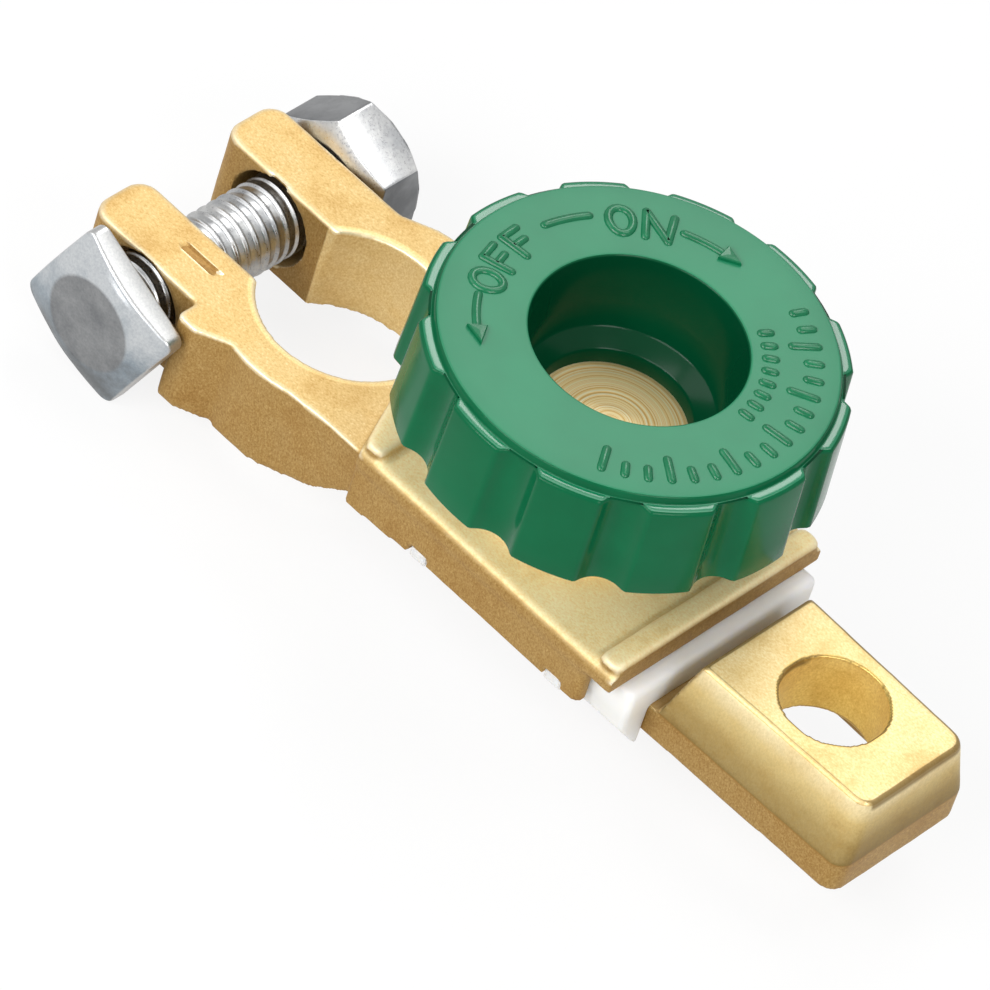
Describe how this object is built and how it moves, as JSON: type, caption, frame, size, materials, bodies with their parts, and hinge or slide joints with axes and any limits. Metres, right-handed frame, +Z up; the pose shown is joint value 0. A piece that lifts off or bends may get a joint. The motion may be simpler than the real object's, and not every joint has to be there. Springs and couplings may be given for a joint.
{
  "type": "battery terminal disconnect switch",
  "caption": "Battery post clamp with an insulated cable terminal; turning its lobed knob makes or breaks the contact between the two.",
  "frame": {"origin": "axis of the battery post at the underside of the clamp", "axes": "+X from the post to the cable terminal, +Z up along the post and the knob's screw, +Y towards the clamp bolt's nut"},
  "size_m": [0.0922, 0.0394, 0.0354],
  "materials": {
    "cast_brass": "cast and tumbled, satin with fine grain",
    "turned_brass": "turned, fine rings",
    "white_nylon": "moulded, slightly translucent",
    "green_plastic": "moulded, soft sheen",
    "zinc_steel": "zinc plated, satin",
    "spring_steel": "oiled spring steel"
  },
  "bodies": {
    "base": {"clamp_body": "cast_brass", "tail_terminal": "cast_brass", "insulator": "white_nylon"},
    "keeper": {"retaining_ring": "spring_steel"},
    "knob": {"knob": "green_plastic", "contact_stud": "turned_brass"},
    "bolt": {"clamp_bolt": "zinc_steel"},
    "nut": {"clamp_nut": "zinc_steel"}
  },
  "joints": [
    {"name": "knob_rise", "type": "slide", "parent": "base", "child": "keeper", "axis": [0, 0, 1], "range_m": [0, 0.00187]},
    {"name": "knob_turn", "type": "hinge", "parent": "keeper", "child": "knob", "pos_m": [0.0288, 0, 0.0126], "axis": [0, 0, 1], "range_deg": [-0.5, 540.5]},
    {"name": "nut_turn", "type": "hinge", "parent": "base", "child": "nut", "pos_m": [-0.0146, 0.0118, 0.0052], "axis": [0, 1, 0], "range_deg": [-70.5, 1080.5]},
    {"name": "bolt_draw", "type": "slide", "parent": "base", "child": "bolt", "axis": [0, 1, 0], "range_m": [-0.00375, 0.00024]}
  ],
  "couplings": [
    {"joint": "knob_turn", "follows": "knob_rise", "rad_per_m": 5026.5},
    {"joint": "nut_turn", "follows": "bolt_draw", "rad_per_m": -5026.5}
  ]
}
